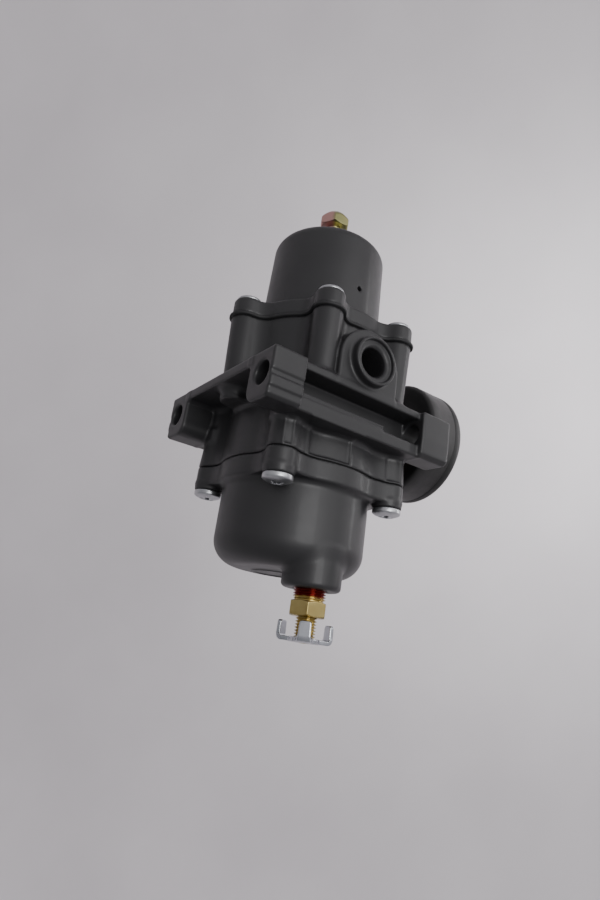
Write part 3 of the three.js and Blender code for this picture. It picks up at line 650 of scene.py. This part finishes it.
def handle_field(x, y, z):
    solid = both(np.hypot(x, y) - 5.4, slab(z, HANDLE_BOTTOM, HANDLE_FACE), 0.3)
    for a in (143, 263, 23):
        c, s = math.cos(math.radians(a)), math.sin(math.radians(a))
        u, v = x * c + y * s, -x * s + y * c
        bend = np.hypot(u - 8.6, z - HANDLE_BEND) - 1.4
        level = np.where(u < 8.6, np.abs(z + 84.0), np.abs(bend))
        strip = np.where(z > HANDLE_BEND, np.abs(u - 10.0), level) - 0.8
        width = np.interp(u, [0, 2, 8.0, 10.8], [3.2, 3.1, 2.9, 2.2]) + 0 * z
        taper = 2.25 - np.clip(z - HANDLE_BEND, 0, 6) * 0.04
        width = np.where(z > HANDLE_BEND, np.minimum(width, taper), width)
        flat = both(np.abs(v) - width, slab(z, -86, HANDLE_TOP), 0.9)
        solid = join(solid, both(both(strip, flat, 0.3), -u), 0.6)
    return cut(solid, np.hypot(x, y) - 2.1)


stamped = surface(handle_field, (-11, -11, -84.9), (11, 11, -77.6), mesh_step(0.17))
new_piece("drain_handle_stamping", *at_drain(stamped), LOOKS["chrome"],
          "drain_handle", "drain_handle", "chrome")


# ------------------------------------------------------------------ pressure gauge
def at_gauge(part):
    return placed(part, Matrix.Rotation(math.pi / 2, 3, "X"), (0, 0, GAUGE_Z))


def corner(r, z, radius, a0, a1, n=6):
    return [tuple(p) for p in arc(r, z, radius, a0, a1, n)]


case_profile = [
    (5.8, 48.0), (22.8, 48.0), *corner(GAUGE_R - 2.1, 50.0, 2.0, 280, 360, 7), (GAUGE_R - 0.1, 62.9),
    (GAUGE_R - 2.0, 62.9), (GAUGE_R - 2.0, 53.0), (GAUGE_R - 5.5, 49.4), (5.8, 49.4),
]
bezel = [
    (GAUGE_R - 1.4, BEZEL_JOINT), (GAUGE_R - 0.12, BEZEL_JOINT), (GAUGE_R - 0.02, 63.1),
    *corner(GAUGE_R - 2.8, GAUGE_FRONT - 2.8, 2.8, 0, 95, 9), (GAUGE_R - 3.6, GAUGE_FRONT - 0.3),
    (GAUGE_R - 4.0, GAUGE_FRONT - 1.1), (GAUGE_R - 1.9, GAUGE_FRONT - 1.1), (GAUGE_R - 1.9, BEZEL_JOINT),
]
pane = [(0, 65.0), (GAUGE_R - 2.1, 65.0), (GAUGE_R - 2.1, 66.8), (0, 66.8)]
dial = [(1.5, 60.6), (GAUGE_R - 2.5, 60.6), (GAUGE_R - 2.5, 61.2), (1.5, 61.2)]
for name, node, look, solid, smooth in (
    ("gauge_case_shell", "gauge_case", "black_case", turned(case_profile, 128), True),
    ("gauge_bezel_ring", "gauge_bezel", "black_case", turned(bezel, 128), True),
    ("gauge_window_pane", "gauge_window", "window", turned(pane, 96, close=False), False),
    ("gauge_dial_plate", "gauge_dial", "dial_white", turned(dial, 96), False),
):
    new_piece(name, *at_gauge(solid), LOOKS[look], node=node, slot=look, smooth=smooth)


def bar(angle, r0, r1, half, low, high):
    a = math.radians(angle)
    c, s = math.cos(a), math.sin(a)
    flat = [(r * c - t * s, r * s + t * c) for r, t in ((r0, -half), (r1, -half), (r1, half), (r0, half))]
    verts = [(x, y, z) for z in (low, high) for x, y in flat]
    sides = [(i, (i + 1) % 4, 4 + (i + 1) % 4, 4 + i) for i in range(4)]
    return np.array(verts), [(3, 2, 1, 0), (4, 5, 6, 7), *sides]


marks = []
for i in range(31):
    inner, half = (18.6, 0.16) if i % 5 else (17.0, 0.3)
    marks.append(bar(225 - 270 * i / 30, inner, 20.6, half, DIAL_MARKS, 61.26))
marks += [bar(225 - 270 * i / 90, 20.3, 20.75, 1.25, DIAL_MARKS, 61.24) for i in range(91)]
new_piece("gauge_dial_scale", *at_gauge(merged(*marks)), LOOKS["black_trim"], slot="black_trim", smooth=False)


def figures(name, words):
    """Dial figures as flat raised meshes; words are (text, size, x, y) seen from the front."""
    parts = []
    for k, (text, size, x, y) in enumerate(words):
        curve = bpy.data.curves.new(f"{name}_{k}", "FONT")
        curve.body, curve.size, curve.extrude = text, size, 0.03
        curve.align_x, curve.align_y = "CENTER", "CENTER"
        holder = bpy.data.objects.new(f"{name}_{k}", curve)
        bpy.context.scene.collection.objects.link(holder)
        bpy.context.view_layer.update()
        mesh = bpy.data.meshes.new_from_object(holder.evaluated_get(bpy.context.evaluated_depsgraph_get()))
        verts = np.array([v.co for v in mesh.vertices]) + (x, y, 61.22)
        parts.append((verts, [tuple(p.vertices) for p in mesh.polygons]))
        bpy.data.objects.remove(holder)
    new_piece(name, *at_gauge(merged(*parts)), LOOKS["black_trim"], slot="black_trim", smooth=False)


spots = [(math.radians(225 - 45 * i), str(10 * i)) for i in range(7)]
figures("gauge_dial_figures", [(t, 3.6, 14.0 * math.cos(a), 14.0 * math.sin(a)) for a, t in spots])

for name in ("gauge_socket", "gauge_pointer", "valve_cartridge", "upper_spring_seat"):
    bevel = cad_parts[name].modifiers.new("edge", "BEVEL")
    bevel.width, bevel.segments = 0.0002, 2
    bevel.limit_method, bevel.angle_limit = "ANGLE", math.radians(50)


# ------------------------------------------------------------------ stage, lights and camera
RIGHT = Vector((-0.58601, -0.79874, 0.13637))
UP = Vector((-0.17110, 0.28647, 0.94269))
BACK = Vector((-0.79204, 0.52910, -0.30455))
CAMERA = Vector((-0.2004, 0.0911, -0.0862))
CENTRE = Vector((0.0, -0.0438, 0.010))


def backdrop():
    """Seamless pale bowl behind the object, opening towards the camera and clear of every viewpoint."""
    profile = [(0.0, -0.40), (0.15, -0.40), (0.30, -0.40), (0.42, -0.40)]
    bend = [math.radians(a) for a in range(6, 86, 6)]
    profile += [(0.42 + 0.40 * math.sin(a), -0.40 * math.cos(a)) for a in bend]
    verts, faces = turned([(r * 1000, z * 1000) for r, z in profile], 96, close=False)
    turn = np.array(Matrix((RIGHT, UP, BACK)))
    mesh = bpy.data.meshes.new("backdrop")
    mesh.from_pydata((verts / 1000 @ turn + np.array(CENTRE)).tolist(), [], faces)
    mesh.polygons.foreach_set("use_smooth", [True] * len(mesh.polygons))
    mat = bpy.data.materials.new("backdrop")
    mat.use_nodes = True
    nodes, links = mat.node_tree.nodes, mat.node_tree.links
    where, tex = nodes.new("ShaderNodeTexCoord"), nodes.new("ShaderNodeTexNoise")
    tone = nodes.new("ShaderNodeValToRGB")
    tex.inputs["Scale"].default_value, tex.inputs["Detail"].default_value = 7.0, 6.0
    low, high = tone.color_ramp.elements
    low.color, high.color = (0.71, 0.675, 0.70, 1), (0.78, 0.745, 0.77, 1)
    low.position, high.position = 0.3, 0.7
    links.new(where.outputs["Object"], tex.inputs["Vector"])
    links.new(tex.outputs["Fac"], tone.inputs["Fac"])
    links.new(tone.outputs["Color"], nodes["Principled BSDF"].inputs["Base Color"])
    nodes["Principled BSDF"].inputs["Roughness"].default_value = 0.95
    mesh.materials.append(mat)
    bowl = bpy.data.objects.new("backdrop", mesh)
    bpy.context.scene.collection.objects.link(bowl)


def lamp(name, offset, size, power, aim=(0, 0, 0)):
    """Soft rectangular light; offset and aim are (right, up, towards the camera) in metres from the object."""
    light = bpy.data.lights.new(name, "AREA")
    light.shape, light.size, light.size_y, light.energy = "RECTANGLE", size[0], size[1], power
    spot = bpy.data.objects.new(name, light)
    bpy.context.scene.collection.objects.link(spot)
    spot.location = CENTRE + RIGHT * offset[0] + UP * offset[1] + BACK * offset[2]
    spot.rotation_mode = "QUATERNION"
    target = CENTRE + RIGHT * aim[0] + UP * aim[1] + BACK * aim[2]
    spot.rotation_quaternion = (target - spot.location).to_track_quat("-Z", "Y")


backdrop()
lamp("key", (0.24, 0.10, 0.56), (0.30, 0.30), 1.6)
lamp("side", (0.52, 0.30, 0.34), (0.50, 0.50), 0.8)
lamp("backdrop_light", (0.36, 0.05, -0.08), (0.16, 0.30), 1.5, aim=(0.21, 0, -0.40))
world = bpy.data.worlds.new("studio")
bpy.context.scene.world = world
world.use_nodes = True
nodes, links = world.node_tree.nodes, world.node_tree.links
where, lean = nodes.new("ShaderNodeTexCoord"), nodes.new("ShaderNodeVectorMath")
tone = nodes.new("ShaderNodeValToRGB")
lean.operation = "DOT_PRODUCT"
lean.inputs[1].default_value = tuple(RIGHT * 0.40 + UP * 0.38)
shift = nodes.new("ShaderNodeMath")
shift.operation, shift.inputs[1].default_value = "ADD", 0.5
links.new(where.outputs["Generated"], lean.inputs[0])
links.new(lean.outputs["Value"], shift.inputs[0])
links.new(shift.outputs["Value"], tone.inputs["Fac"])
low, high = tone.color_ramp.elements
low.position, high.position = 0.15, 0.85
low.color, high.color = (0.52, 0.51, 0.53, 1), (0.97, 0.95, 0.98, 1)
links.new(tone.outputs["Color"], nodes["Background"].inputs["Color"])
nodes["Background"].inputs["Strength"].default_value = 0.62

lens = bpy.data.cameras.new("camera")
lens.lens, lens.sensor_width, lens.sensor_fit = 24.32, 36.0, "AUTO"
lens.clip_start, lens.clip_end = 0.01, 10.0
camera = bpy.data.objects.new("camera", lens)
bpy.context.scene.collection.objects.link(camera)
camera.matrix_world = Matrix.Translation(CAMERA) @ Matrix((RIGHT, UP, BACK)).transposed().to_4x4()
bpy.context.scene.camera = camera
